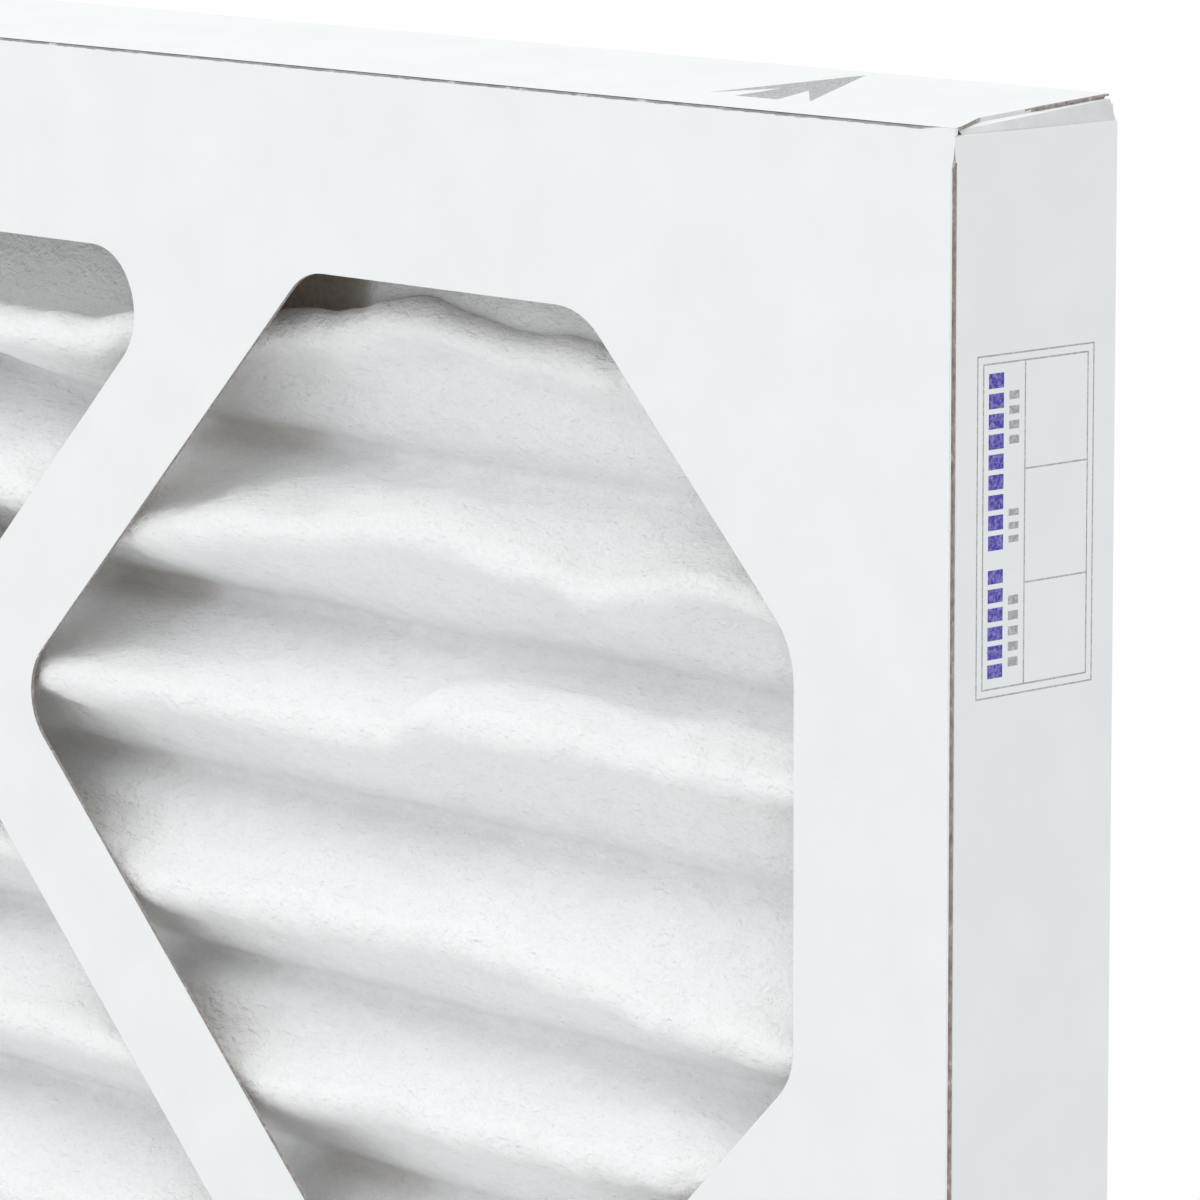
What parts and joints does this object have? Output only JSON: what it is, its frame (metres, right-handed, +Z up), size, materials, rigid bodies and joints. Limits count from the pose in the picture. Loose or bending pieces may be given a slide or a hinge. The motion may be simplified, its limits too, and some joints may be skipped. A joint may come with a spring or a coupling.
{
  "type": "pleated panel air filter",
  "caption": "Flat square air filter: a white board frame with diagonal straps over horizontal pleats of white non-woven media, wire-backed on the air-leaving side.",
  "frame": {"origin": "middle of the underside, on the surface the panel stands on", "axes": "+X to the right as seen from the air-entering side, +Y with the airflow from the air-entering face to the air-leaving face, +Z up"},
  "size_m": [0.6224, 0.0444, 0.6259],
  "materials": {
    "coated_board": "white clay-coated board, matt, with a grey-brown kraft core",
    "nonwoven_media": "white lofty cotton and polyester non-woven",
    "galvanised_wire": "galvanised, dull",
    "hot_melt": "cloudy off-white hot-melt adhesive"
  },
  "bodies": {
    "root": {"front_frame": "coated_board", "rear_frame": "coated_board", "filter_media": "nonwoven_media", "wire_grid": "galvanised_wire", "side_bed_left": "hot_melt", "side_bed_right": "hot_melt", "end_bead_bottom": "hot_melt", "end_bead_top": "hot_melt"}
  },
  "joints": []
}
